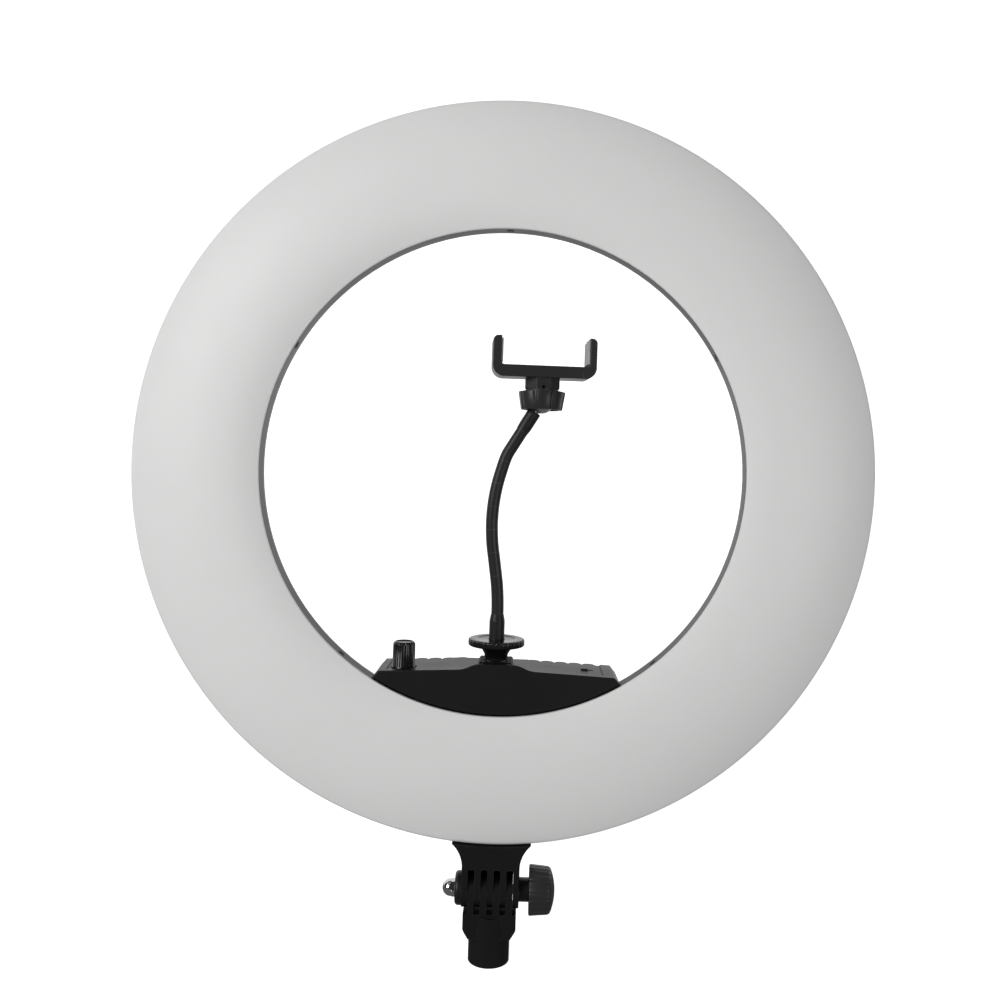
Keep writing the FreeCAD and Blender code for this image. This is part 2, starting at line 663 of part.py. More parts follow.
def led_cables():
    """The lead from the driver: down through both walls, back, then sideways onto a board."""
    bend, half = 6.0, math.sqrt(0.5)
    start = Vector(0, CABLE_Y, -144.5)
    drop = Vector(0, CABLE_Y, -165.0)
    level = drop + Vector(0, bend, -bend)
    back = Vector(0, BOARD_Y[0] - 2.5 - bend, level.z)
    side = back + Vector(bend, bend, 0)
    path = Part.Wire([
        Part.makeLine(start, drop),
        Part.Arc(drop, drop + Vector(0, bend * (1 - half), -bend * half), level).toShape(),
        Part.makeLine(level, back),
        Part.Arc(back, back + Vector(bend * (1 - half), bend * half, 0), side).toShape(),
        Part.makeLine(side, side + X * 22.0)])
    circle = Part.Wire([Part.makeCircle(CABLE_R, start, Z)])
    return path.makePipeShell([circle], True, True)


# ---------------------------------------------------------------- shoe and lock wheel

def shoe_screw_points():
    return [Vector(SHOE_X + dx, SHOE_Y + dy, SHOE_Z[0]) for dx in (-5.0, 5.0) for dy in (-7.0, 7.0)]


def hot_shoe():
    front, back = SHOE_Y - SHOE_LENGTH / 2, SHOE_Y + SHOE_LENGTH / 2
    body = block((SHOE_X - SHOE_HALF, SHOE_X + SHOE_HALF), (front, back), SHOE_Z)
    body = body.makeChamfer(1.1, [e for e in body.Edges if abs(e.CenterOfMass.z - SHOE_Z[1]) < 0.01
                                  and abs(e.CenterOfMass.y - SHOE_Y) < 0.01])
    channel = block((SHOE_X - FOOT_HALF - 0.15, SHOE_X + FOOT_HALF + 0.15), (front + 1.2, 60),
                    (SHOE_FLOOR, SHOE_ROOF))
    mouth = block((SHOE_X - 6.4, SHOE_X + 6.4), (front + 2.4, 60), (SHOE_FLOOR, -110))
    body = body.cut(channel).cut(mouth)
    for point in shoe_screw_points():
        body = body.cut(rod(point - Z, Z, SMALL_PILOT_R, 4.0))
        body = body.cut(rod(point + Z * 0.5, Z, SHOE_SCREW_HEAD_R + 0.1, 2.0))
    return body


def shoe_screws():
    return Part.makeCompound([screw(point + Z * 0.55, Z * -1, SHOE_SCREW_R, 3.6, SHOE_SCREW_HEAD_R, 0.65)
                              for point in shoe_screw_points()])


def shoe_foot():
    """The square foot in the shoe, with the threaded stud that carries the neck."""
    foot = block((SHOE_X - FOOT_HALF, SHOE_X + FOOT_HALF), (SHOE_Y - FOOT_HALF, SHOE_Y + FOOT_HALF),
                 (SHOE_FLOOR + 0.1, SHOE_ROOF - 0.1))
    foot = rounded(foot, 1.2, lambda p: abs(p.z - (SHOE_FLOOR + SHOE_ROOF) / 2) < 0.01)
    stud = rod(Vector(SHOE_X, SHOE_Y, SHOE_ROOF - 0.2), Z, STUD_R, -103.0 - SHOE_ROOF + 0.2)
    return join([foot, stud])


def lock_washer():
    at = Vector(SHOE_X, SHOE_Y, WASHER_Z[0])
    return tube(at, Z, 7.5, STUD_R + 0.1, WASHER_Z[1] - WASHER_Z[0])


def lock_wheel():
    low, mid, high = WHEEL_Z
    profile = outline(
        flat,
        (STUD_R + 0.05, low), (7.5, low), (7.9, low + 2.4), (9.9, mid - 2.0), (12.0, mid),
        ((WHEEL_R - 1.2, mid + 1.2), 1.2, -90.0, 0.0),
        ((WHEEL_R - 1.2, high - 1.2), 1.2, 0.0, 90.0),
        (12.5, high), (11.9, high - 0.5), (FERRULE_R + 0.3, high - 0.5),
        (FERRULE_R + 0.3, high - WHEEL_POCKET), (STUD_R + 0.05, high - WHEEL_POCKET))
    wheel = turned(profile, Z)
    notch = rod(Vector(WHEEL_R + 0.75, 0, low), Z, 1.1, 20.0)
    wheel = wheel.cut(Part.makeCompound(around(notch, Z, 36)))
    wheel.translate(Vector(SHOE_X, SHOE_Y, 0))
    return wheel


# ---------------------------------------------------------------- gooseneck

def centreline(s):
    """Point and heading (degrees from upright, towards +X) at a length along the neck."""
    at = Vector(SHOE_X, SHOE_Y, NECK_START)
    heading = 0.0
    for length, turn in NECK_BENDS:
        part = min(s, length)
        sweep = math.radians(turn * part / length)
        middle = math.radians(heading) + sweep / 2.0
        chord = part if turn == 0.0 else 2.0 * length / math.radians(turn) * math.sin(sweep / 2.0)
        at = at + Vector(math.sin(middle), 0, math.cos(middle)) * chord
        heading += turn * part / length
        s -= part
        if s <= 0.0:
            break
    at = at + Vector(math.sin(math.radians(heading)), 0, math.cos(math.radians(heading))) * s
    return at, heading


def neck_length():
    return sum(length for length, turn in NECK_BENDS)


def neck_joint(k):
    """Centre of the neck's joint number k; joint 0 is on the base ferrule."""
    return centreline(k * neck_length() / NECK_LINKS)[0]


def stand_up(shape, at, towards):
    """Turns a shape drawn along +Z to point from one place towards another."""
    turn = FreeCAD.Rotation(Z, towards - at)
    shape.Placement = FreeCAD.Placement(at, turn)
    return shape


def link_end(z):
    """Ball on a short stalk, with its centre at a height."""
    return [ball(Z * z, LINK_BALL), rod(Z * (z - 3.4), Z, 2.2, 3.0)]


def link_socket():
    return [ball(ORIGIN, LINK_BALL + 0.05), cone(Z * -2.0, Z, 3.5, 2.6, 1.4)]


def neck_link(k):
    """Link number k, counted from 1, from joint k-1 to joint k."""
    start, end = neck_joint(k - 1), neck_joint(k)
    length = start.distanceToPoint(end)
    last = k == NECK_LINKS
    body = rod(Z * -1.4, Z, NECK_R, length + 1.4 + (5.0 if last else -3.0))
    if not last:
        body = join([body] + link_end(length))
    for tool in link_socket():
        body = body.cut(tool)
    if last:
        end = start + heading_vector(neck_length()) * length
    return stand_up(body, start, end)


def heading_vector(s):
    turn = math.radians(centreline(s)[1])
    return Vector(math.sin(turn), 0, math.cos(turn))


def base_ferrule():
    low, high = FERRULE_Z
    profile = outline(flat, (0.0, low), (FERRULE_R, low), (FERRULE_R, high - FERRULE_TAPER),
                      (NECK_R + 0.15, high - 0.2), (NECK_R - 0.05, high), (0.0, high))
    body = join([turned(profile, Z)] + link_end(NECK_START))
    body = body.cut(rod(Z * (low - 1), Z, STUD_R + GAP, 10.2))
    body.translate(Vector(SHOE_X, SHOE_Y, 0))
    return body


def ferrule_start():
    return neck_joint(NECK_LINKS - 1) + heading_vector(neck_length()) * (neck_length() / NECK_LINKS)


def ball_centre():
    return ferrule_start() + heading_vector(neck_length()) * (TOP_FERRULE + BALL_REACH)


def top_ferrule():
    start = ferrule_start()
    edge = 0.7
    profile = outline(flat, (0.0, 0.0), (NECK_R + 0.2, 0.0), (TOP_FERRULE_R, FERRULE_TAPER),
                      ((TOP_FERRULE_R - edge, TOP_FERRULE - edge), edge, 0.0, 90.0), (0.0, TOP_FERRULE))
    body = turned(profile, Z)
    body = body.cut(rod(Z * -1, Z, NECK_R + GAP, 6.1)).cut(rod(Z * 6.0, Z, BALL_STEM_R + GAP, 20))
    return stand_up(body, start + heading_vector(neck_length()) * 0.02, ball_centre())


def ball_stud():
    centre = TOP_FERRULE + BALL_REACH
    body = join([ball(Z * centre, BALL_R), rod(Z * 7.0, Z, BALL_STEM_R, centre - 7.0)])
    return stand_up(body, ferrule_start(), ball_centre())


# ---------------------------------------------------------------- phone holder

def on_ball(shape):
    """Moves a shape from the holder's frame into the row's frame."""
    shape.rotate(ORIGIN, Z, HOLDER_YAW)
    shape.translate(ball_centre())
    return on_ring(shape)


def ball_liner():
    shell = ball(ORIGIN, LINER_R).cut(ball(ORIGIN, BALL_R + GAP))
    return shell.cut(block((-20, 20), (-20, 20), (-20, -1.5)))


def ball_seat():
    body = rod(Z * SEAT_Z[0], Z, SEAT_R, SEAT_Z[1] - SEAT_Z[0])
    return body.cut(ball(ORIGIN, LINER_R + GAP))


def collar_nut():
    low, high = COLLAR_Z
    profile = outline(
        flat,
        (COLLAR_MOUTH, low), (COLLAR_R[0] - 0.5, low), (COLLAR_R[0], low + 0.5),
        (COLLAR_R[1], high - 0.8), (COLLAR_R[1] - 0.8, high),
        (STEM_R + 0.1, high), (STEM_R + 0.1, STEM_Z[0] - GAP), (COLLAR_LIP, STEM_Z[0] - GAP))
    nut = turned(profile, Z)
    flute = stand_up(rod(ORIGIN, Z, 1.9, 20.0), Vector(COLLAR_R[0] + 1.0, 0, low - 2),
                     Vector(COLLAR_R[1] + 1.2, 0, high))
    flutes = around(flute, Z, COLLAR_FLUTES)
    for one in flutes:
        one.rotate(ORIGIN, Z, 22.5)
    return nut.cut(Part.makeCompound(flutes))


def jaw_outline(side):
    """One jaw with its share of the bar, seen from the front."""
    k = 0 if side < 0 else 1
    outer, wall, top = abs(JAW_X[k]), JAW_WALL[k], JAW_TOP
    low, high = BAR_Z
    inner = outer - wall
    steps = [(SPLIT_X if side > 0 else -SPLIT_X + GAP, low),
             ((outer - BAR_CORNER, low + BAR_CORNER), BAR_CORNER, -90.0, 0.0),
             ((outer - JAW_CORNER, top - JAW_CORNER), JAW_CORNER, 0.0, 90.0),
             (inner, top),
             ((inner - INNER_CORNER, high + INNER_CORNER), INNER_CORNER, 0.0, -90.0),
             (SPLIT_X if side > 0 else -SPLIT_X + GAP, high)]
    face = outline(flat, *steps)
    return face if side > 0 else face.mirror(ORIGIN, X)


def socket_block():
    """Eight-sided block under the bar, with a bevel round its lower end."""
    half, face, deep = SOCKET_HALF, SOCKET_FACE, BAR_HALF_Y - 1.0
    side = deep * face / half
    corners = [(face, -deep), (half, -side), (half, side), (face, deep),
               (-face, deep), (-half, side), (-half, -side), (-face, -deep), (face, -deep)]
    low, high = SOCKET_Z
    loop = Part.makePolygon([Vector(x, y, low) for x, y in corners])
    body = Part.Face(loop).extrude(Z * (high - low))
    upright = [e for e in body.Edges if abs(e.Length - (high - low)) < 0.01]
    body = body.makeFillet(0.8, upright)
    bevel = cone(Z * low, Z, half - 0.6, half + 3.0, 3.6)
    return body.common(join([bevel, rod(Z * (low + 3.6), Z, half + 3.0, high - low - 3.6)]))


def clamp_body():
    """Fixed jaw, bar, socket block and the threaded stem round the ball's seat."""
    half = BAR_HALF_Y
    frame = slab(jaw_outline(-1), (-half, half))
    frame = rounded(frame, 0.7, lambda p: abs(abs(p.y) - half) < 0.01 and p.z > BAR_Z[1] + 0.5)
    stem = rod(Z * STEM_Z[0], Z, STEM_R, SOCKET_Z[0] - STEM_Z[0] - 0.6)
    waist = rod(Z * (SOCKET_Z[0] - 1.0), Z, SOCKET_HALF - 1.0, 2.0)
    body = join([frame, socket_block(), stem, waist])
    cuts = [rod(Z * -12, Z, SEAT_R + GAP, 12 + SEAT_Z[1] + GAP), ball(ORIGIN, LINER_R + 0.1)]
    for y in (-ROD_Y, ROD_Y):
        cuts.append(rod(Vector(ROD_LEFT_X, y, rod_z()), X, ROD_R + 0.05, 60.0))
    cuts.append(rod(Vector(ROD_LEFT_X - 6.0, 0, rod_z()), X, SPRING_R + 0.5, 60.0))
    cuts.append(rod(Vector(0, -20, SET_SCREW_Z), Y, 1.3, 13.1))
    return body.cut(Part.makeCompound(cuts))


def rod_z():
    return (BAR_Z[0] + BAR_Z[1]) / 2.0


def clamp_slider():
    half = BAR_HALF_Y
    jaw = slab(jaw_outline(1), (-half, half))
    jaw = rounded(jaw, 0.7, lambda p: abs(abs(p.y) - half) < 0.01 and p.z > BAR_Z[1] + 0.5)
    cuts = [rod(Vector(SPLIT_X - 1, y, rod_z()), X, ROD_R + 0.01, 6.0) for y in (-ROD_Y, ROD_Y)]
    cuts.append(rod(Vector(SPLIT_X - 1, 0, rod_z()), X, SPRING_R + 0.5, 4.5))
    return jaw.cut(Part.makeCompound(cuts))


def clamp_rods():
    return Part.makeCompound([rod(Vector(ROD_LEFT_X + 0.5, y, rod_z()), X, ROD_R, SPLIT_X - ROD_LEFT_X + 4.3)
                              for y in (-ROD_Y, ROD_Y)])


def clamp_spring():
    """The pull spring between the two jaws, with its turns round the X axis."""
    long_x = SPLIT_X + 3.0 - (ROD_LEFT_X - 5.5)
    pitch = long_x / SPRING_TURNS
    helix = Part.makeHelix(pitch, long_x, SPRING_R)
    circle = Part.Wire([Part.makeCircle(SPRING_WIRE, Vector(SPRING_R, 0, 0), Y)])
    coil = Part.Wire(helix.Edges).makePipeShell([circle], True, True)
    coil.rotate(ORIGIN, Y, 90)
    coil.translate(Vector(ROD_LEFT_X - 5.5, 0, rod_z()))
    return coil


def jaw_pad(side):
    k = 0 if side < 0 else 1
    face = abs(JAW_X[k]) - JAW_WALL[k] - GAP
    pad = block((face - PAD_WALL, face), (-BAR_HALF_Y + 1.5, BAR_HALF_Y - 1.5),
                (BAR_Z[1] + INNER_CORNER + 0.1, JAW_TOP - 1.6))
    return pad if side > 0 else pad.mirror(ORIGIN, X)


def set_screw():
    pin = rod(Vector(0, -BAR_HALF_Y + 1.6, SET_SCREW_Z), Y, 1.25, 2.3)
    return pin.cut(rod(Vector(0, -BAR_HALF_Y + 1.5, SET_SCREW_Z), Y, 0.6, 1.1))


# ---------------------------------------------------------------- tilt joint

def plate_screw_points():
    """Places of the screws that hold the neck's plate to the housing, in the ring's frame."""
    return [(x, z) for x in (-14.0, 14.0) for z in (-230.0, -216.0)]


def tilt_neck():
    """Flared neck with five fins; its plate reaches up behind the housing."""
    pivot = PIVOT_Z - RING_Z
    flank_z = -math.sqrt((RING_R + 0.15) ** 2 - NECK_FLARE ** 2)
    fall = math.sqrt(NECK_FLARE_R ** 2 - (NECK_FLARE_R - (NECK_FLARE - NECK_HALF)) ** 2)
    steepest = math.degrees(math.asin(fall / NECK_FLARE_R))
    waist = flank_z - fall
    saddle = math.degrees(math.asin(NECK_FLARE / (RING_R + 0.15)))
    front = outline(
        flat,
        ((0.0, 0.0), RING_R + 0.15, -90.0 - saddle, -90.0 + saddle),
        ((NECK_HALF + NECK_FLARE_R, waist), NECK_FLARE_R, 180.0 - steepest, 180.0),
        (NECK_HALF, pivot), (-NECK_HALF, pivot),
        ((-NECK_HALF - NECK_FLARE_R, waist), NECK_FLARE_R, 0.0, steepest))
    y = (-RING_Y - NECK_DEPTH / 2, -RING_Y + NECK_DEPTH / 2)
    body = slab(front, y)
    body = rounded(body, 1.0, lambda p: abs(p.y - y[0]) < 0.01 and abs(p.z - pivot) > 0.1 and abs(p.x) > 1)
    knuckles = rod(Vector(-NECK_HALF, -RING_Y, pivot), X, KNUCKLE_R, 2 * NECK_HALF)
    plate_y = (BACK_Y + GAP, BACK_Y + GAP + PLATE_THICK)
    plate = slab(outline(flat, (-PLATE_HALF, -246.0), (PLATE_HALF, -246.0),
                         ((PLATE_HALF - 8, PLATE_TOP - 8), 8.0, 0.0, 90.0),
                         ((8 - PLATE_HALF, PLATE_TOP - 8), 8.0, 90.0, 180.0)), plate_y)
    body = join([body, knuckles, plate])
    cuts = [rod(Vector(-60, -RING_Y, pivot), X, BOLT_R + 0.05, 120)]
    for k in SLOT_PLACES:
        x = k * FIN_PITCH
        root = pivot + NECK_SLOT_ROOT - FIN_SLOT / 2
        wide = (x - FIN_SLOT / 2, x + FIN_SLOT / 2)
        cuts.append(block(wide, (-20, 60), (pivot - 30, pivot + KNUCKLE_R + 0.1)))
        cuts.append(block(wide, (-20, y[1] - NECK_WEB), (pivot, root)))
        cuts.append(rod(Vector(x, -20, root), Y, FIN_SLOT / 2, y[1] - NECK_WEB + 20))
    for x, z in plate_screw_points():
        cuts.append(rod(Vector(x, 10, z), Y, 1.7, 30))
    return body.cut(Part.makeCompound(cuts))


def plate_screws():
    head_y = BACK_Y + 2 * GAP + PLATE_THICK
    return Part.makeCompound([screw(Vector(x, head_y, z), Y * -1, 1.5, 10.0, 3.0, 2.0)
                              for x, z in plate_screw_points()])


def bolt_washer():
    profile = outline(flat, (0, 0), (BOSS_R, 0),
                      ((BOSS_R - BOSS_EDGE, BOSS_WIDE - BOSS_EDGE), BOSS_EDGE, 0.0, 90.0), (0, BOSS_WIDE))
    boss = turned(profile, Z).cut(rod(Z * -1, Z, BOLT_R + 0.05, 20))
    boss.rotate(ORIGIN, Y, -90)
    boss.translate(Vector(-NECK_HALF - GAP, 0, PIVOT_Z))
    return boss


def tilt_bolt():
    left = -NECK_HALF - BOSS_WIDE - 5.5
    return rod(Vector(left, 0, PIVOT_Z), X, BOLT_R, NECK_HALF + HUB_WIDE + 9.0 - left)


def dome_nut():
    """Bright hexagon nut with a domed cap."""
    corner = 5.0 / math.cos(math.radians(30))
    hexagon = Part.makePolygon([radial_flat(60 * k) * corner for k in range(7)])
    nut = Part.Face(hexagon).extrude(Z * 2.4)
    cap = ball(Z * 2.9, 5.4).common(block((-9, 9), (-9, 9), (1.6, 20)))
    nut = join([nut, cap]).cut(rod(Z * -1, Z, BOLT_R + 0.02, 6.7))
    nut.rotate(ORIGIN, Y, -90)
    nut.translate(Vector(-NECK_HALF - BOSS_WIDE - 2 * GAP, 0, PIVOT_Z))
    return nut


def knob_washer():
    at = Vector(NECK_HALF + GAP, 0, PIVOT_Z)
    return tube(at, X, HUB_R, BOLT_R + 0.08, HUB_WIDE - GAP)


def tilt_knob():
    """Tapered hand knob with shallow flutes and a domed outer face."""
    wide, (inner, outer) = TILT_KNOB_WIDE, TILT_KNOB_R
    edge, crown = 3.0, 34.0
    rim = wide - 2.8 - edge
    turn = math.degrees(math.asin((outer - edge) / (crown - edge)))
    profile = outline(flat, (0, 0), (inner - 0.8, 0), (inner, 0.8),
                      ((outer - edge, rim), edge, 0.0, 90.0 - turn),
                      ((0.0, rim - (crown - edge) * math.cos(math.radians(turn))), crown, 90.0 - turn, 90.0))
    knob = turned(profile, Z)
    flute = stand_up(rod(ORIGIN, Z, 1.5, 30.0), Vector(inner + 1.2, 0, 0), Vector(outer + 1.2, 0, wide))
    knob = knob.cut(Part.makeCompound(around(flute, Z, 24)))
    knob = knob.cut(rod(Z * -1, Z, 5.0, 11.0))
    knob.rotate(ORIGIN, Y, 90)
    knob.translate(Vector(NECK_HALF + HUB_WIDE + 2 * GAP, 0, PIVOT_Z))
    return knob


def knob_insert():
    at = Vector(NECK_HALF + HUB_WIDE + 3 * GAP, 0, PIVOT_Z)
    return tube(at, X, 4.95, BOLT_R + 0.05, 9.6)


# ---------------------------------------------------------------- stand bracket

def stand_bracket():
    """Four fins on a block that narrows to the stand socket."""
    half_y = KNUCKLE_R - 0.2
    pieces = [rod(ORIGIN, Z, SOCKET_OUTER, BRACKET_Z[1] - 2.0)]
    shoulder = slab(outline(flat, (-SOCKET_OUTER, BRACKET_Z[0] - 4), (SOCKET_OUTER, BRACKET_Z[0] - 4),
                            (BRACKET_HALF, BRACKET_Z[0] + 2), (BRACKET_HALF, BRACKET_Z[1]),
                            (-BRACKET_HALF, BRACKET_Z[1]), (-BRACKET_HALF, BRACKET_Z[0] + 2)),
                    (-half_y, half_y))
    pieces.append(rounded(shoulder, 1.5, lambda p: abs(abs(p.x) - BRACKET_HALF) < 0.01
                          and abs(abs(p.y) - half_y) < 0.01))
    for k in SLOT_PLACES:
        x = k * FIN_PITCH
        fin = join([rod(Vector(x - LOWER_FIN / 2, 0, PIVOT_Z), X, half_y, LOWER_FIN),
                    block((x - LOWER_FIN / 2, x + LOWER_FIN / 2), (-half_y, half_y),
                          (BRACKET_Z[1] - 1, PIVOT_Z))])
        pieces.append(fin)
    pieces.append(rod(Vector(0, 0, LOCK_Z), Y, 7.5, 18.0))
    body = join(pieces)
    body = body.cut(rod(Z * -1, Z, SOCKET_R, SOCKET_DEEP + 1))
    body = body.cut(rod(Vector(-60, 0, PIVOT_Z), X, BOLT_R + 0.06, 120))
    return body.cut(rod(Vector(0, 0, LOCK_Z), Y, 4.6, 30.0))


def lock_insert():
    return tube(Vector(0, 8.6, LOCK_Z), Y, 4.55, LOCK_SCREW_R + 0.06, 9.2)


def lock_tip():
    """Nylon pad on the screw's end; it moves in and out without turning."""
    pad = rod(Vector(0, 8.3, LOCK_Z), Y, 2.4, 1.2)
    return join([pad, rod(Vector(0, 9.4, LOCK_Z), Y, 1.1, 1.6)])


def lock_screw():
    shank = rod(Vector(0, 9.6, LOCK_Z), Y, LOCK_SCREW_R, 18.4)
    return shank.cut(rod(Vector(0, 9.0, LOCK_Z), Y, 1.15, 2.2))


def lock_knob():
    """Three-lobed thumb knob on the lock screw."""
    lobes = around(rod(Vector(7.4, 0, 0), Z, 4.8, 9.0), Z, 3)
    knob = join(lobes + [rod(ORIGIN, Z, 7.6, 9.0), rod(Z * -2.5, Z, 5.0, 3.0)])
    knob = knob.cut(rod(Z * -3, Z, LOCK_SCREW_R + 0.02, 9.2))
    knob.rotate(ORIGIN, X, -90)
    knob.translate(Vector(0, 21.9, LOCK_Z))
    return knob


# ---------------------------------------------------------------- writing the pieces

RING_PIECES = {
    "diffuser": diffuser, "rear_housing": rear_housing, "led_boards": led_boards,
    "led_chips": led_chips, "board_screws": board_screws, "housing_screws": housing_screws,
    "bore_screws": bore_screws, "box_case": box_case, "box_cover": box_cover,
    "cover_screws": cover_screws, "box_screws": box_screws, "driver_board": driver_board,
    "driver_parts": driver_parts, "dimmer_pot": dimmer_pot, "dimmer_nut": dimmer_nut,
    "dimmer_shaft": dimmer_shaft, "dimmer_knob": dimmer_knob, "switch_body": switch_body,
    "switch_slider": switch_slider, "dc_jack": dc_jack, "led_cables": led_cables,
    "hot_shoe": hot_shoe, "shoe_screws": shoe_screws, "shoe_foot": shoe_foot,
    "lock_washer": lock_washer, "lock_wheel": lock_wheel, "base_ferrule": base_ferrule,
    "top_ferrule": top_ferrule, "ball_stud": ball_stud, "tilt_neck": tilt_neck,
    "plate_screws": plate_screws}
HOLDER_PIECES = {
    "ball_liner": ball_liner, "ball_seat": ball_seat, "collar_nut": collar_nut,
    "clamp_body": clamp_body, "clamp_slider": clamp_slider, "clamp_rods": clamp_rods,
    "clamp_spring": clamp_spring, "set_screw": set_screw}
BRACKET_PIECES = {
    "bolt_washer": bolt_washer, "tilt_bolt": tilt_bolt, "dome_nut": dome_nut,
    "knob_washer": knob_washer, "tilt_knob": tilt_knob, "knob_insert": knob_insert,
    "stand_bracket": stand_bracket, "lock_insert": lock_insert, "lock_tip": lock_tip,
    "lock_screw": lock_screw, "lock_knob": lock_knob}


def all_pieces():
    """Every piece by name, in the row's frame."""
    pieces = {name: on_ring(make()) for name, make in RING_PIECES.items()}
    for k in range(1, NECK_LINKS + 1):
        pieces["neck_link_%d" % k] = on_ring(neck_link(k))
    for name, make in HOLDER_PIECES.items():
        pieces[name] = on_ball(make())
    pieces["left_pad"] = on_ball(jaw_pad(-1))
    pieces["right_pad"] = on_ball(jaw_pad(1))
    for name, make in BRACKET_PIECES.items():
        pieces[name] = make()
    return pieces


def main():
    os.makedirs("parts", exist_ok=True)
    for name, shape in all_pieces().items():
        shape.exportStep("parts/%s.step" % name)


if __name__ == "__main__":
    main()
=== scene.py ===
import json
import math

import bmesh
import bpy
from mathutils import Matrix, Vector


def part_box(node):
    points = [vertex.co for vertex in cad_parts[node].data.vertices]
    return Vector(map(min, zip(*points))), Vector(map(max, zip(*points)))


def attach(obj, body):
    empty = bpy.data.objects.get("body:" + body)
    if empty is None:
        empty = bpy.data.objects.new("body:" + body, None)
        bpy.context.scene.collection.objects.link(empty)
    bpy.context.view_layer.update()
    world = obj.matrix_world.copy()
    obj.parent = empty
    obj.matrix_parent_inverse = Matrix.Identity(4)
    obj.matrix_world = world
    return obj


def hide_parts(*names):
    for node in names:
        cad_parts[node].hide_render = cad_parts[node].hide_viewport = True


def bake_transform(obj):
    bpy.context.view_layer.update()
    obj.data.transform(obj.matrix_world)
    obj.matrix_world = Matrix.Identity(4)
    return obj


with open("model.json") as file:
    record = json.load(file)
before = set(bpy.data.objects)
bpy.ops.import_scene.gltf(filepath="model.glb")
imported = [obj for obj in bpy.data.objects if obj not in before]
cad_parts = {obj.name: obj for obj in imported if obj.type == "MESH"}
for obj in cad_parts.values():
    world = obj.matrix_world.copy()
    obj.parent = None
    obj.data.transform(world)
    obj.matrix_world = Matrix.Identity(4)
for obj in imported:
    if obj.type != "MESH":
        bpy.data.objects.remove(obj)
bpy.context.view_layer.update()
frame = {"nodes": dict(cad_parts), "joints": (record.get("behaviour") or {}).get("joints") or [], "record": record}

MM = 0.001
X, Y, Z = Vector((1, 0, 0)), Vector((0, 1, 0)), Vector((0, 0, 1))
CORNER_ANGLE = 35.0          # faces that meet at more than this stay sharp, in degrees
CAD_CORNER_ANGLE = 28.0      # the same for the CAD nodes


# ------------------------------------------------------------------ places taken from the frame

def joint(name):
    return next(j for j in frame["joints"] if j["name"] == name)


def middle(node):
    low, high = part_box(node)
    return (low + high) / 2


def size(node):
    low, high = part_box(node)
    return high - low


# ------------------------------------------------------------------ outlines and meshes

def arc(centre, radius, first, last, steps):
    """Points of an arc in a plane, angles in degrees, both ends included."""
    points = []
    for k in range(steps + 1):
        a = math.radians(first + (last - first) * k / steps)
        points.append((centre[0] + radius * math.cos(a), centre[1] + radius * math.sin(a)))
    return points


def new_object(name, mesh):
    thing = bpy.data.objects.new(name, mesh)
    bpy.context.scene.collection.objects.link(thing)
    return thing


def finish_mesh(name, build):
    """Turns a bmesh into an object with outward faces, smooth except at real corners."""
    bmesh.ops.remove_doubles(build, verts=build.verts, dist=1e-7)
    bmesh.ops.recalc_face_normals(build, faces=build.faces)
    mesh = bpy.data.meshes.new(name)
    build.to_mesh(mesh)
    build.free()
    for face in mesh.polygons:
        face.use_smooth = True
    mesh.set_sharp_from_angle(angle=math.radians(CORNER_ANGLE))
    return new_object(name, mesh)


def lathe(name, profile, steps, wave=None):
    """Spins a closed profile of (radius, height) round +Z. wave(angle, radius, height) gives a new radius."""
    build = bmesh.new()
    rows = []
    for r, h in profile:
        if r < 1e-9:
            rows.append([build.verts.new((0, 0, h))] * steps)
            continue
        row = []
        for k in range(steps):
            a = math.tau * k / steps
            here = wave(a, r, h) if wave else r
            row.append(build.verts.new((here * math.cos(a), here * math.sin(a), h)))
        rows.append(row)
    for i in range(len(rows)):
        low, high = rows[i], rows[(i + 1) % len(rows)]
        for k in range(steps):
            n = (k + 1) % steps
            ring = []
            for v in (low[k], low[n], high[n], high[k]):
                if v not in ring:
                    ring.append(v)
            if len(ring) > 2:
                build.faces.new(ring)
    return finish_mesh(name, build)


def stand_at(thing, place, axis=Z, turn=0.0):
    """Turns +Z of a mesh to an axis and moves its origin to a place, in its vertices."""
    spin = Matrix.Rotation(turn, 4, "Z")
    lean = Z.rotation_difference(axis).to_matrix().to_4x4()
    thing.data.transform(Matrix.Translation(place) @ lean @ spin)
    return thing


def put(thing, body, slot, paint, *nodes):
    """Rides a piece on its body, gives it its paint and hides the nodes that it stands for; the slot is not used.
    """
    thing.data.materials.clear()
    thing.data.materials.append(paint)
    if nodes:
        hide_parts(*nodes)
    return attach(thing, body)


# ------------------------------------------------------------------ materials

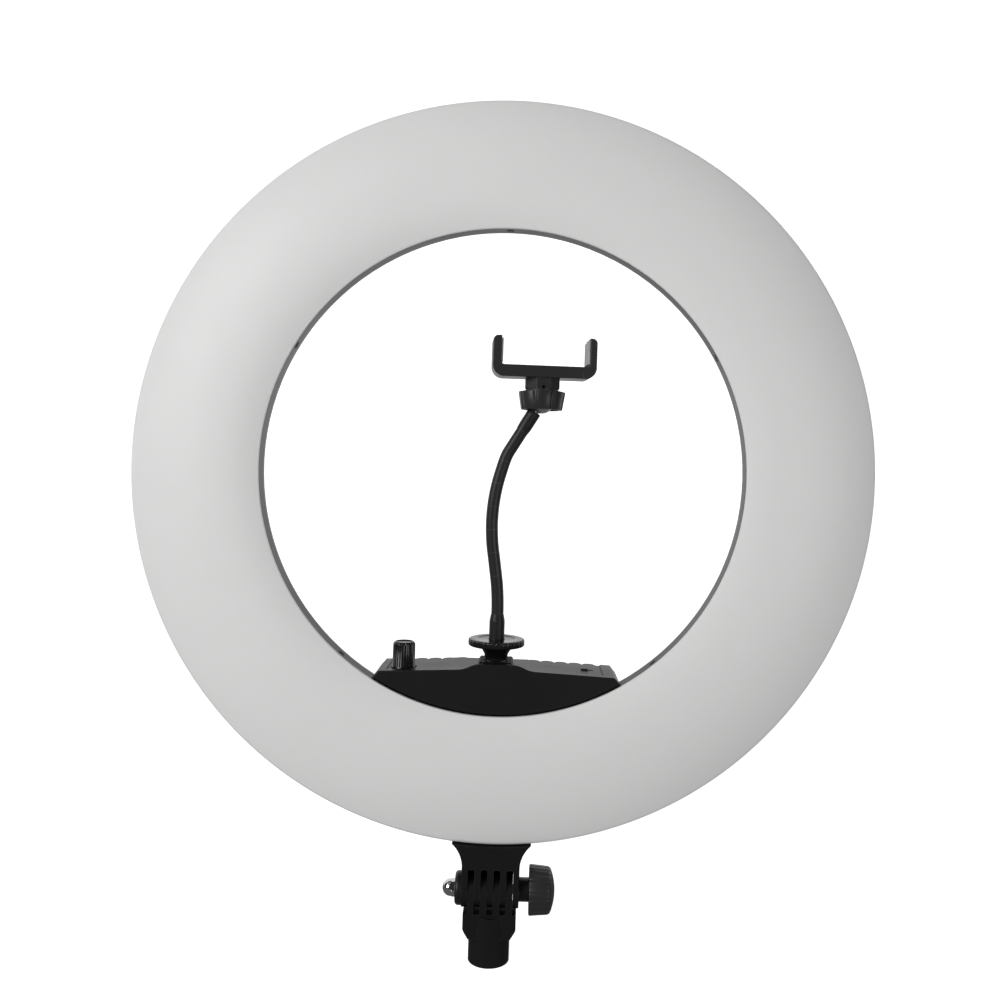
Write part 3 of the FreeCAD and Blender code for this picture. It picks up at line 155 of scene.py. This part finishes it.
class Paint:
    """A node material built step by step round one Principled shader."""

    def __init__(self, name):
        self.material = bpy.data.materials.new(name)
        self.material.use_nodes = True
        self.tree = self.material.node_tree
        self.shader = self.tree.nodes["Principled BSDF"]
        self.place = self.node("ShaderNodeTexCoord").outputs["Object"]

    def node(self, kind, **values):
        made = self.tree.nodes.new(kind)
        for key, value in values.items():
            setattr(made, key, value)
        return made

    def link(self, output, target):
        self.tree.links.new(output, target)

    def set(self, **values):
        for key, value in values.items():
            self.shader.inputs[key.replace("_", " ")].default_value = value

    def noise(self, scale, detail=4.0, roughness=0.6, stretch=None):
        texture = self.node("ShaderNodeTexNoise")
        texture.inputs["Scale"].default_value = scale
        texture.inputs["Detail"].default_value = detail
        texture.inputs["Roughness"].default_value = roughness
        source = self.place
        if stretch:
            mapping = self.node("ShaderNodeMapping")
            mapping.inputs["Scale"].default_value = stretch
            self.link(self.place, mapping.inputs["Vector"])
            source = mapping.outputs["Vector"]
        self.link(source, texture.inputs["Vector"])
        return texture.outputs["Fac"]

    def grey(self, source, *stops):
        """Maps a value through (position, level) stops."""
        made = self.node("ShaderNodeValToRGB")
        points = made.color_ramp.elements
        while len(points) < len(stops):
            points.new(0.5)
        for point, (position, level) in zip(points, stops):
            point.position = position
            point.color = (level, level, level, 1)
        self.link(source, made.inputs["Fac"])
        return made.outputs["Color"]

    def mix(self, factor, first, second):
        made = self.node("ShaderNodeMix", data_type="RGBA")
        sockets = made.inputs[0], made.inputs[6], made.inputs[7]
        for socket, value in zip(sockets, (factor, first, second)):
            if isinstance(value, bpy.types.NodeSocket):
                self.link(value, socket)
            else:
                socket.default_value = value
        return made.outputs[2]

    def math(self, operation, first, second):
        made = self.node("ShaderNodeMath", operation=operation)
        for socket, value in zip(made.inputs, (first, second)):
            if isinstance(value, bpy.types.NodeSocket):
                self.link(value, socket)
            else:
                socket.default_value = value
        return made.outputs[0]

    def edges(self, radius):
        """1 on worn corners, 0 on flats, from the turn of a rounded normal."""
        soft = self.node("ShaderNodeBevel", samples=4)
        soft.inputs["Radius"].default_value = radius
        hard = self.node("ShaderNodeNewGeometry").outputs["Normal"]
        dot = self.node("ShaderNodeVectorMath", operation="DOT_PRODUCT")
        self.link(soft.outputs["Normal"], dot.inputs[0])
        self.link(hard, dot.inputs[1])
        return self.math("MULTIPLY", self.math("SUBTRACT", 1.0, dot.outputs["Value"]), 8.0)

    def bump(self, height, distance, strength):
        made = self.node("ShaderNodeBump")
        made.inputs["Distance"].default_value = distance
        made.inputs["Strength"].default_value = strength
        self.link(height, made.inputs["Height"])
        self.link(made.outputs["Normal"], self.shader.inputs["Normal"])

    def feed(self, name, output):
        self.link(output, self.shader.inputs[name])


def moulded(name, dark, light, rough, grain_scale=1400.0, grain=0.000012, edge=0.0004, spec=0.45):
    """Moulded plastic: fine spark grain, faint flow mottling, slightly rubbed corners."""
    paint = Paint(name)
    mottle = paint.noise(38.0, 5.0)
    smear = paint.noise(9.0, 3.0, stretch=(1.0, 2.5, 0.6))
    colour = paint.mix(mottle, (*dark, 1), (*light, 1))
    rubbing = paint.edges(edge)
    patches = paint.grey(paint.noise(160.0, 3.0), (0.42, 0.0), (0.62, 1.0))
    worn = paint.math("MINIMUM", paint.math("MULTIPLY", rubbing, patches), 1.0)
    rubbed = tuple(min(1.0, c * 3.2 + 0.012) for c in light)
    paint.feed("Base Color", paint.mix(worn, colour, (*rubbed, 1)))
    level = paint.grey(smear, (0.3, rough - 0.05), (0.7, rough + 0.06))
    paint.feed("Roughness", paint.mix(worn, level, (rough * 0.75,) * 3 + (1,)))
    paint.set(Specular_IOR_Level=spec)
    paint.bump(paint.noise(grain_scale, 2.0, 0.7), grain, 0.55)
    return paint.material


def metal(name, colour, rough, scratch=(900.0, 900.0, 40.0), depth=0.000004):
    """Turned or plated metal with fine drawn lines and faint stains."""
    paint = Paint(name)
    stain = paint.noise(60.0, 5.0)
    dull = tuple(c * 0.82 for c in colour)
    paint.feed("Base Color", paint.mix(stain, (*dull, 1), (*colour, 1)))
    lines = paint.noise(1.0, 3.0, 0.6, stretch=scratch)
    paint.feed("Roughness", paint.grey(lines, (0.3, rough * 0.7), (0.75, rough * 1.5)))
    paint.set(Metallic=1.0)
    paint.bump(lines, depth, 0.5)
    return paint.material


def milky():
    """Translucent white moulding: soft scattering, a satin skin, the faintest flow marks."""
    paint = Paint("milky_acrylic")
    cloud = paint.noise(11.0, 4.0)
    paint.feed("Base Color", paint.mix(cloud, (0.80, 0.80, 0.795, 1), (0.84, 0.84, 0.832, 1)))
    paint.feed("Roughness", paint.grey(paint.noise(26.0, 4.0), (0.3, 0.40), (0.7, 0.50)))
    paint.set(Subsurface_Weight=0.25, Subsurface_Radius=(0.004, 0.004, 0.0038), Subsurface_Scale=1.0,
              Specular_IOR_Level=0.35)
    paint.bump(paint.noise(900.0, 2.0, 0.6), 0.000008, 0.4)
    return paint.material


PAINTS = {
    "milky": milky(),
    "black_shell": moulded("black_abs", (0.006, 0.006, 0.0065), (0.009, 0.009, 0.0095), 0.40),
    "dull_shell": moulded("black_abs_dull", (0.008, 0.008, 0.0085), (0.011, 0.011, 0.0115), 0.5, spec=0.15),
    "black_grip": moulded("black_abs_grip", (0.020, 0.020, 0.020), (0.026, 0.026, 0.026), 0.34),
    "gloss": moulded("black_abs_polished", (0.006, 0.006, 0.006), (0.009, 0.009, 0.009), 0.17, 900.0, 0.000004),
    "black_clamp": moulded("black_nylon", (0.021, 0.021, 0.0215), (0.027, 0.027, 0.0275), 0.38),
    "sheath": moulded("pvc_sleeve", (0.022, 0.022, 0.022), (0.029, 0.029, 0.029), 0.34, 700.0, 0.00002,
                      spec=0.22),
    "ferrule": moulded("ferrule_black", (0.018, 0.018, 0.019), (0.024, 0.024, 0.024), 0.34, spec=0.22),
    "chrome": metal("bright_nickel", (0.78, 0.78, 0.77), 0.10, (500.0, 500.0, 500.0), 0.000001),
    "steel": metal("zinc_steel", (0.56, 0.56, 0.55), 0.30),
    "black_screw": moulded("black_oxide", (0.006, 0.006, 0.006), (0.010, 0.010, 0.010), 0.45, spec=0.08),
    "ball_metal": metal("satin_zinc", (0.80, 0.80, 0.79), 0.42),
    "brass": metal("turned_brass", (0.70, 0.50, 0.22), 0.25),
    "shoe_metal": moulded("coated_steel", (0.006, 0.006, 0.006), (0.010, 0.010, 0.010), 0.5, spec=0.05),
    "board": moulded("white_mask", (0.62, 0.63, 0.60), (0.70, 0.71, 0.68), 0.45, 600.0),
    "led": moulded("phosphor", (0.72, 0.60, 0.16), (0.80, 0.68, 0.22), 0.5, 2000.0),
    "component": moulded("component_black", (0.016, 0.016, 0.018), (0.028, 0.028, 0.03), 0.35),
    "switch_nub": moulded("acetal", (0.012, 0.012, 0.012), (0.018, 0.018, 0.018), 0.35),
    "wire": moulded("wire_jacket", (0.012, 0.012, 0.012), (0.02, 0.02, 0.02), 0.42),
    "nylon": moulded("natural_nylon", (0.62, 0.60, 0.54), (0.70, 0.69, 0.63), 0.45),
    "pad": moulded("grey_foam", (0.40, 0.40, 0.40), (0.48, 0.48, 0.475), 0.7, 900.0, 0.00003),
}


# Nodes whose finish differs a little from the rest of their slot
SPECIAL = {"tilt_neck": "dull_shell", "stand_bracket": "dull_shell", "ball_stud": "ball_metal"}


def dress_cad():
    """Gives every CAD node the material of its slot, and shades it smooth except at corners."""
    for part in frame["record"]["subparts"]:
        thing = frame["nodes"][part["node"]]
        thing.data.materials.clear()
        thing.data.materials.append(PAINTS[SPECIAL.get(part["node"], part["material_slot"])])
        for face in thing.data.polygons:
            face.use_smooth = True
        thing.data.set_sharp_from_angle(angle=math.radians(CAD_CORNER_ANGLE))


dress_cad()


# ------------------------------------------------------------------ finer pieces than the CAD's meshes

def flutes(count, depth, half_width, from_radius, turn=0.0):
    """A wave for lathe(): evenly spaced scoops in the surfaces beyond a radius, mm and degrees."""
    def wave(angle, radius, height):
        if radius < from_radius * MM:
            return radius
        place = ((angle - math.radians(turn)) * count / math.tau + 0.5) % 1.0 - 0.5
        across = place * math.tau * radius / count / (half_width * MM)
        return radius - depth * MM * max(0.0, 1.0 - across * across)
    return wave


def in_mm(points):
    return [(u * MM, v * MM) for u, v in points]


def dome():
    """The milky ring: a domed shell with a rolled lip, a skirt and a tongue behind it."""
    crown, lip, wall = 175.0, 154.8, 2.4
    inner_arc, outer_arc, corner = 59.0, 124.0, 7.0
    lip_back, lip_front = -5.9, -3.9
    hook, hook_wall, hook_back = lip + 2.7, 1.5, -10.0
    tongue_high, tongue_in, tongue_wall = 4.0, 2.55, 2.05
    edge = size("diffuser").x / 2 / MM
    deep = size("diffuser").y / MM
    turn = math.degrees(math.acos((edge - corner - crown) / (outer_arc - corner)))
    drop = outer_arc - math.sqrt((outer_arc - corner) ** 2 - (edge - corner - crown) ** 2)
    start = 90.0 + math.degrees(math.asin((crown - lip) / inner_arc))
    inside = 90.0 + math.degrees(math.asin((crown - lip - 4.2) / (inner_arc - wall)))
    seam = deep - tongue_high
    tongue = edge - tongue_in
    reach = math.degrees(math.acos((tongue - tongue_wall - crown) / (outer_arc - wall)))
    profile = [(lip, lip_back), (lip, lip_front)]
    profile += arc((crown, -inner_arc), inner_arc, start, 90.0, 16)
    profile += arc((crown, -outer_arc), outer_arc, 90.0, turn, 48)[1:]
    profile += arc((edge - corner, -drop), corner, turn, 0.0, 10)[1:]
    profile += [(edge, -seam), (tongue, -seam), (tongue, -deep), (tongue - tongue_wall, -deep)]
    profile += arc((crown, -outer_arc), outer_arc - wall, reach, 90.0, 24)
    profile += arc((crown, -inner_arc), inner_arc - wall, 90.0, inside, 10)[1:]
    profile += [(hook + hook_wall, hook_back), (hook, hook_back), (hook, lip_back)]
    shell = lathe("dome", in_mm(profile), 512)
    front = Vector((0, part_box("diffuser")[0].y, middle("diffuser").z))
    put(stand_at(shell, front, -Y), "head", "milky", PAINTS["milky"], "diffuser")


def wheel():
    """The disc wheel on the shoe's stud, with a notched rim and a sunk middle."""
    low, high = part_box("lock_wheel")
    tall = (high.z - low.z) / MM
    rim = size("lock_wheel").x / 2 / MM
    plate = tall - 4.6
    profile = [(3.2, 0.0), (7.2, 0.0), (7.5, 0.3), (7.9, 2.4), (9.9, plate - 2.0), (12.0, plate - 0.1),
               (12.6, plate)]
    profile += arc((rim - 1.2, plate + 1.2), 1.2, -90.0, 0.0, 6)
    profile += arc((rim - 1.2, tall - 1.2), 1.2, 0.0, 90.0, 6)
    profile += [(12.9, tall), (12.5, tall - 0.08), (12.0, tall - 0.42), (11.6, tall - 0.5), (5.7, tall - 0.5),
                (5.4, tall - 0.8), (5.4, tall - 3.4), (3.2, tall - 3.4)]
    disc = lathe("wheel_disc", in_mm(profile), 720, flutes(36, 0.36, 0.85, rim - 1.3))
    place = Vector(joint("lock_wheel_turn")["pos_m"])
    place.z = low.z
    put(stand_at(disc, place), "wheel", "black_grip", PAINTS["gloss"], "lock_wheel")


def collar():
    """The fluted nut round the ball's seat."""
    low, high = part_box("collar_nut")
    tall = (high.z - low.z) / MM
    seat = 2.75
    profile = [(12.0, 0.0), (13.3, 0.0), (13.7, 0.2), (13.8, 0.5), (15.5, tall - 0.8), (15.3, tall - 0.25),
               (14.7, tall), (12.3, tall), (12.3, seat), (9.4, seat)]
    nut = lathe("collar_ring", in_mm(profile), 480, flutes(8, 0.8, 1.6, 13.0, 22.5))
    place = Vector(joint("collar_turn")["pos_m"])
    yaw = math.atan2(joint("jaw_slide")["axis"][1], joint("jaw_slide")["axis"][0])
    place.z = low.z
    put(stand_at(nut, place, Z, yaw), "collar", "black_grip", PAINTS["black_grip"], "collar_nut")


def small_knob():
    """The fluted dimmer knob, with a bright-edged rim round its sunk top and a pointer groove."""
    low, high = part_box("dimmer_knob")
    tall, r = (high.z - low.z) / MM, 7.4
    profile = [(6.0, 0.0), (r + 0.4, 0.0), (r + 0.4, 0.8), (r + 0.2, 1.3), (r, 1.6), (r - 0.25, tall - 1.5),
               (r - 0.3, tall - 1.2), (r - 1.0, tall - 0.25), (r - 1.3, tall), (r - 1.7, tall),
               (r - 1.9, tall - 0.1), (r - 2.2, tall - 0.6), (r - 2.5, tall - 0.7), (0.0, tall - 0.7)]
    profile += [(0.0, tall - 2.8), (3.02, tall - 2.8), (3.02, 2.9), (6.0, 2.9)]
    scoops = flutes(18, 0.45, 0.82, r - 1.2)

    def wave(angle, radius, height):
        if height < 1.7 * MM:
            return radius
        pointer = abs((angle + math.pi / 2 + math.pi) % math.tau - math.pi) * radius < 0.4 * MM
        return scoops(angle, radius, height) - (0.35 * MM if pointer and radius > 5.0 * MM else 0.0)
    knob = lathe("dimmer_cap", in_mm(profile), 720, wave)
    place = Vector(joint("dimmer_turn")["pos_m"])
    place.z = low.z
    put(stand_at(knob, place), "dimmer", "black_grip", PAINTS["gloss"], "dimmer_knob")


def hand_knob():
    """The tapered knob of the tilt joint, fluted all round, with a domed outer face."""
    low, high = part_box("tilt_knob")
    wide = (high.x - low.x) / MM
    inner, outer, edge, crown = 15.7, 14.8, 3.0, 34.0
    tip = math.degrees(math.asin((outer - edge) / (crown - edge)))
    bulge = crown - (crown - edge) * math.cos(math.radians(tip)) - edge
    rim = wide - bulge - edge
    profile = [(5.0, 0.0), (inner - 0.8, 0.0), (inner - 0.25, 0.25), (inner, 0.8)]
    profile += arc((outer - edge, rim), edge, 0.0, 90.0 - tip, 8)
    profile += arc((0.0, wide - crown), crown, 90.0 - tip, 90.0, 12)[1:-1]
    profile += [(0.0, wide), (0.0, 10.0), (5.0, 10.0)]
    scoops = flutes(24, 0.3, 0.9, 12.9)

    def wave(angle, radius, height):
        fade = max(0.0, min(1.0, (radius / MM - 12.9) / 1.2))
        return radius + (scoops(angle, radius, height) - radius) * fade
    knob = lathe("tilt_grip_cap", in_mm(profile), 720, wave)
    place = Vector(joint("tilt_knob_turn")["pos_m"])
    place.x = low.x
    put(stand_at(knob, place, X), "tilt_grip", "black_grip", PAINTS["black_grip"], "tilt_knob")


def cap_nut():
    """The bright nut: a short hexagon with a round cap."""
    low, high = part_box("dome_nut")
    tall = (high.x - low.x) / MM
    cap = 5.4
    meet = math.degrees(math.asin((2.4 - (tall - cap)) / cap))
    profile = [(2.97, 0.0), (5.5, 0.0), (5.77, 0.25), (5.77, 2.0), (5.5, 2.4)]
    profile += arc((0.0, tall - cap), cap, meet, 90.0, 24)[:-1]
    profile += [(0.0, tall), (0.0, 5.7), (2.97, 5.7)]

    def wave(angle, radius, height):
        if height > 2.45 * MM or radius < 5.45 * MM:
            return radius
        return min(radius, 5.0 * MM / math.cos((angle + math.pi / 6) % (math.pi / 3) - math.pi / 6))
    nut = lathe("cap_nut", in_mm(profile), 360, wave)
    place = Vector(joint("head_tilt")["pos_m"])
    place.x = high.x
    put(stand_at(nut, place, -X), "head", "chrome", PAINTS["chrome"], "dome_nut")


# ------------------------------------------------------------------ the gooseneck's sleeve

SLEEVE_R, SLEEVE_BORE = 4.1 * MM, 3.3 * MM
SLEEVE_STEPS, SLEEVE_ROWS = 48, 24
TIP_REACH = 4.0 * MM         # how far the sleeve runs into the top ferrule
FOOT_REACH = 3.4 * MM        # and below the first bend
FOOT_BEND = 2.0 * MM         # where the first bend begins, below its joint
BEND_SHARE = 0.35            # of the pitch, each side of a joint, marks a bend's span; the code works out its ends but bends nothing


def neck_path():
    """The neck's centreline as a function: whole numbers are its joints, mm turned to metres."""
    spots = [Vector(j["pos_m"]) for j in frame["joints"] if j["child"].startswith("neck_")]
    tip = (Vector(joint("ball_side_tilt")["pos_m"]) - spots[-1]).normalized()
    pitch = (spots[1] - spots[0]).length
    spots.append(spots[-1] + tip * (pitch + TIP_REACH))
    headings = [Z] + [(b - a).normalized() for a, b in zip(spots, spots[2:-1])] + [tip, tip]

    def path(u):
        if u <= 0.0:
            return spots[0] + Z * (u * pitch), Z
        k = min(int(u), len(spots) - 2)
        t = u - k
        first, last = spots[k], spots[k + 1]
        reach = (last - first).length
        m0, m1 = headings[k] * reach, headings[k + 1] * reach
        place = (first * (2 * t ** 3 - 3 * t ** 2 + 1) + m0 * (t ** 3 - 2 * t ** 2 + t)
                 + last * (3 * t ** 2 - 2 * t ** 3) + m1 * (t ** 3 - t ** 2))
        slope = (first * (6 * t ** 2 - 6 * t) + m0 * (3 * t ** 2 - 4 * t + 1)
                 + last * (6 * t - 6 * t ** 2) + m1 * (3 * t ** 2 - 2 * t))
        return place, slope.normalized()
    return path, len(spots) - 1, pitch


def sleeve(name, path, first, last):
    """A length of tube along the neck, with closed ends."""
    build = bmesh.new()
    steps, rows = SLEEVE_STEPS, SLEEVE_ROWS
    skins = []
    for radius in (SLEEVE_R, SLEEVE_BORE):
        skin = []
        for n in range(rows + 1):
            place, heading = path(first + (last - first) * n / rows)
            side = heading.cross(Y).normalized()
            skin.append([build.verts.new(place + (Y * math.cos(a) + side * math.sin(a)) * radius)
                         for a in (math.tau * k / steps for k in range(steps))])
        skins.append(skin)
    for skin in skins:
        for one, two in zip(skin, skin[1:]):
            for k in range(steps):
                n = (k + 1) % steps
                build.faces.new((one[k], one[n], two[n], two[k]))
    for end in (0, -1):
        for k in range(steps):
            n = (k + 1) % steps
            build.faces.new((skins[0][end][k], skins[0][end][n], skins[1][end][n], skins[1][end][k]))
    return finish_mesh(name, build)


def neck_sheath():
    """The smooth black sleeve in eight lengths, one over each bend of the neck."""
    path, count, pitch = neck_path()
    bends = [j for j in frame["joints"] if j["child"].startswith("neck_")]
    for k, bend in enumerate(bends):
        first = k - 0.5 if k else -FOOT_REACH / pitch
        last = k + 0.5 if k < len(bends) - 1 else float(count)
        tube = sleeve("neck_sleeve_%d" % (k + 1), path, first, last)
        tube.data.materials.append(PAINTS["sheath"])
        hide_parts("neck_link_%d" % (k + 1))
        start = path(k - BEND_SHARE if k else -FOOT_BEND / pitch)[0]
        path(k + BEND_SHARE)[0]
        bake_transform(tube)


dome()
wheel()
collar()
small_knob()
hand_knob()
cap_nut()
neck_sheath()


# ------------------------------------------------------------------ stage, light and camera

SKY, MIRRORED_SKY = 0.26, 0.03      # the room's light on surfaces, and as seen in shiny ones
# Brightness of the sweep as seen in shiny surfaces: metres back plus metres up, level
GLOW = ((0.30, 0.12), (0.90, 0.50), (1.10, 0.70), (1.37, 1.20), (1.65, 1.15), (1.85, 0.86))
SOFT_GLOW = 0.45                    # what the sweep gives to dull surfaces
GLOW_SPAN = 3.0                     # metres that the ramp covers
FILM = 36.0                         # sensor width, mm
LENS = 34.56                        # mm
SHIFT = (-0.0265, -0.035)           # of the picture's middle
CAMERA_RIGHT, CAMERA_FRONT, CAMERA_UP = 0.015, 0.620, 0.0053    # of the ring's middle, m
RING_FACE = 0.021                   # from the housing's back to the camera's reference, m
ROLL = 1.8                          # degrees


def backdrop():
    """A pale floor that sweeps up into a pale wall behind the object."""
    half, front, back, tall, bend = 4.0, -3.0, 1.6, 4.2, 1.0
    profile = [(front, 0.0)] + arc((back - bend, bend), bend, -90.0, 0.0, 24) + [(back, tall)]
    build = bmesh.new()
    rows = [[build.verts.new((x, y, z)) for y, z in profile] for x in (-half, half)]
    for k in range(len(profile) - 1):
        build.faces.new((rows[0][k], rows[1][k], rows[1][k + 1], rows[0][k + 1]))
    floor = finish_mesh("backdrop", build)
    paint = Paint("pale_sweep")
    paint.feed("Base Color", paint.mix(paint.noise(3.0), (0.86, 0.86, 0.86, 1), (0.88, 0.88, 0.88, 1)))
    paint.set(Roughness=0.9, Specular_IOR_Level=0.1, Emission_Color=(1, 1, 1, 1), Emission_Strength=0.85)
    spot = paint.node("ShaderNodeSeparateXYZ")
    paint.link(paint.place, spot.inputs[0])
    along = paint.math("DIVIDE", paint.math("ADD", spot.outputs["Y"], spot.outputs["Z"]), GLOW_SPAN)
    glow = paint.node("ShaderNodeEmission")
    path = paint.node("ShaderNodeLightPath")
    mirrored = paint.grey(along, *[(far / GLOW_SPAN, level) for far, level in GLOW])
    soft = (SOFT_GLOW, SOFT_GLOW, SOFT_GLOW, 1)
    paint.link(paint.mix(path.outputs["Is Glossy Ray"], soft, mirrored), glow.inputs["Color"])
    seen = paint.node("ShaderNodeMixShader")
    paint.link(path.outputs["Is Camera Ray"], seen.inputs[0])
    paint.link(glow.outputs[0], seen.inputs[1])
    paint.link(paint.shader.outputs[0], seen.inputs[2])
    paint.link(seen.outputs[0], paint.tree.nodes["Material Output"].inputs["Surface"])
    floor.data.materials.append(paint.material)


def area(name, place, target, width, height, power):
    light = bpy.data.lights.new(name, "AREA")
    light.shape = "RECTANGLE"
    light.size, light.size_y = width, height
    light.energy = power
    lamp = new_object(name, light)
    lamp.location = place
    lamp.rotation_euler = (Vector(target) - Vector(place)).to_track_quat("-Z", "Y").to_euler()
    return lamp


def lights():
    heart = middle("diffuser")
    area("key", heart + Vector((-1.6, -1.5, 0.8)), heart, 1.4, 1.4, 30.0)
    area("fill", heart + Vector((1.4, -1.5, -0.5)), heart, 1.2, 1.6, 18.0)
    world = bpy.data.worlds.new("studio")
    bpy.context.scene.world = world
    world.use_nodes = True
    sky = world.node_tree.nodes["Background"]
    sky.inputs["Color"].default_value = (1, 1, 1, 1)
    dim = world.node_tree.nodes.new("ShaderNodeMath")
    dim.operation = "MULTIPLY_ADD"
    path = world.node_tree.nodes.new("ShaderNodeLightPath")
    world.node_tree.links.new(path.outputs["Is Glossy Ray"], dim.inputs[0])
    dim.inputs[1].default_value = MIRRORED_SKY - SKY
    dim.inputs[2].default_value = SKY
    world.node_tree.links.new(dim.outputs[0], sky.inputs["Strength"])


def camera():
    """In front of the ring, a little right of and above its middle, looking straight back, rolled."""
    ring_middle = middle("diffuser")
    data = bpy.data.cameras.new("view")
    data.lens = LENS
    data.sensor_width = FILM
    data.shift_x, data.shift_y = SHIFT
    data.clip_end = 50.0
    eye = new_object("view", data)
    reference_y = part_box("rear_housing")[1].y - RING_FACE
    place = (CAMERA_RIGHT, reference_y - CAMERA_FRONT, ring_middle.z + CAMERA_UP)
    eye.matrix_world = (Matrix.Translation(place) @ Matrix.Rotation(math.radians(90.0), 4, "X")
                        @ Matrix.Rotation(math.radians(ROLL), 4, "Z"))
    bpy.context.scene.camera = eye


backdrop()
lights()
camera()
bpy.context.scene.view_settings.view_transform = "Standard"
